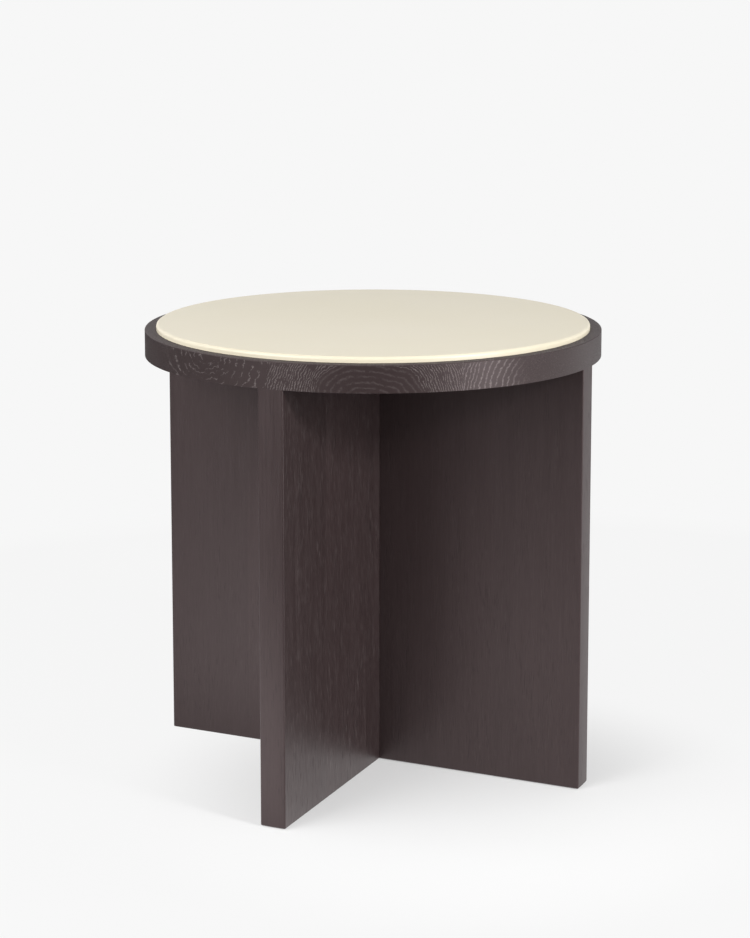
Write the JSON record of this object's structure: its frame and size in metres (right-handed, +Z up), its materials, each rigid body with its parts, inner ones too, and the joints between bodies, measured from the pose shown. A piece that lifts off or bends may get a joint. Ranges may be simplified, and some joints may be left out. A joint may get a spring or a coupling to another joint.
{
  "type": "side table",
  "caption": "Round side table: a cream stone disc let into a dark-stained oak top, on crossed oak panels that end flush with the rim.",
  "frame": {"origin": "on the floor under the middle of the table", "axes": "+Z up; one panel of the base runs along X and the other along Y"},
  "size_m": [0.56, 0.56, 0.555],
  "materials": {
    "stained_oak": "dark grey-brown stain, open grain, satin lacquer",
    "cream_stone": "honed cream stone, satin",
    "silicone": "translucent grey, matt",
    "beech": "plain fluted beech, unfinished",
    "black_steel": "black powder coat, fine texture",
    "zinc_steel": "bright zinc plate",
    "brass": "plain turned brass",
    "nylon": "dark brown moulded nylon"
  },
  "bodies": {
    "root": {"stone_disc": "cream_stone", "bedding_pad_1": "silicone", "bedding_pad_2": "silicone", "bedding_pad_3": "silicone", "bedding_pad_4": "silicone", "bedding_pad_5": "silicone", "top_board_left": "stained_oak", "top_board_middle": "stained_oak", "top_board_right": "stained_oak", "top_board_dowel_1": "beech", "top_board_dowel_2": "beech", "top_board_dowel_3": "beech", "top_board_dowel_4": "beech", "top_board_dowel_5": "beech", "top_board_dowel_6": "beech", "x_panel_stave_1": "stained_oak", "x_panel_stave_2": "stained_oak", "x_panel_stave_3": "stained_oak", "x_panel_stave_4": "stained_oak", "x_panel_stave_5": "stained_oak", "y_panel_stave_1": "stained_oak", "y_panel_stave_2": "stained_oak", "y_panel_stave_3": "stained_oak", "y_panel_stave_4": "stained_oak", "y_panel_stave_5": "stained_oak", "mounting_plate": "black_steel", "plate_screw_1": "zinc_steel", "plate_screw_2": "zinc_steel", "plate_screw_3": "zinc_steel", "plate_screw_4": "zinc_steel", "plate_screw_5": "zinc_steel", "plate_screw_6": "zinc_steel", "plate_screw_7": "zinc_steel", "plate_screw_8": "zinc_steel", "top_bolt_1": "black_steel", "top_bolt_2": "black_steel", "top_bolt_3": "black_steel", "top_bolt_4": "black_steel", "bolt_washer_1": "zinc_steel", "bolt_washer_2": "zinc_steel", "bolt_washer_3": "zinc_steel", "bolt_washer_4": "zinc_steel", "threaded_insert_1": "brass", "threaded_insert_2": "brass", "threaded_insert_3": "brass", "threaded_insert_4": "brass", "locating_dowel_1": "beech", "locating_dowel_2": "beech", "locating_dowel_3": "beech", "locating_dowel_4": "beech", "glide_1": "nylon", "glide_2": "nylon", "glide_3": "nylon", "glide_4": "nylon", "glide_screw_1": "zinc_steel", "glide_screw_2": "zinc_steel", "glide_screw_3": "zinc_steel", "glide_screw_4": "zinc_steel"}
  },
  "joints": []
}
